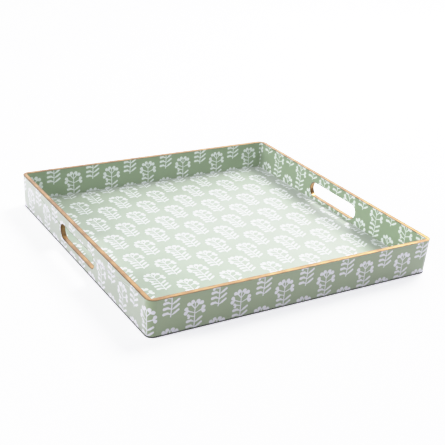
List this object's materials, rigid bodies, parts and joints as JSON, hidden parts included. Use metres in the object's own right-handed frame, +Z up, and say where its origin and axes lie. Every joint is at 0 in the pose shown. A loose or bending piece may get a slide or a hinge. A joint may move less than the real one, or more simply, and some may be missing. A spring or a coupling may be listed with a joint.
{
  "type": "serving tray",
  "caption": "Square serving tray with low upright walls, a finger slot in each side wall, a printed floral covering under clear lacquer, a gilt rim and a felt underside.",
  "frame": {"origin": "centre of the underside, on the felt's lower face", "axes": "+Z up through the open top; +X to the right-hand finger slot; +Y to the back wall"},
  "size_m": [0.457, 0.457, 0.0536],
  "materials": {
    "mdf": "bare fibreboard",
    "brad_steel": "plain wire",
    "felt": "pressed felt",
    "printed_paper": "satin lacquer over block print",
    "gilding": "burnished gold coat"
  },
  "bodies": {
    "root": {"base_board": "mdf", "wall_front": "mdf", "wall_back": "mdf", "wall_left": "mdf", "wall_right": "mdf", "corner_brads": "brad_steel", "base_brads": "brad_steel", "underside_felt": "felt", "floor_paper": "printed_paper", "inner_paper_front": "printed_paper", "inner_paper_back": "printed_paper", "inner_paper_left": "printed_paper", "inner_paper_right": "printed_paper", "outer_paper": "printed_paper", "rim_gilding": "gilding", "slot_gilding_left": "gilding", "slot_gilding_right": "gilding"}
  },
  "joints": []
}
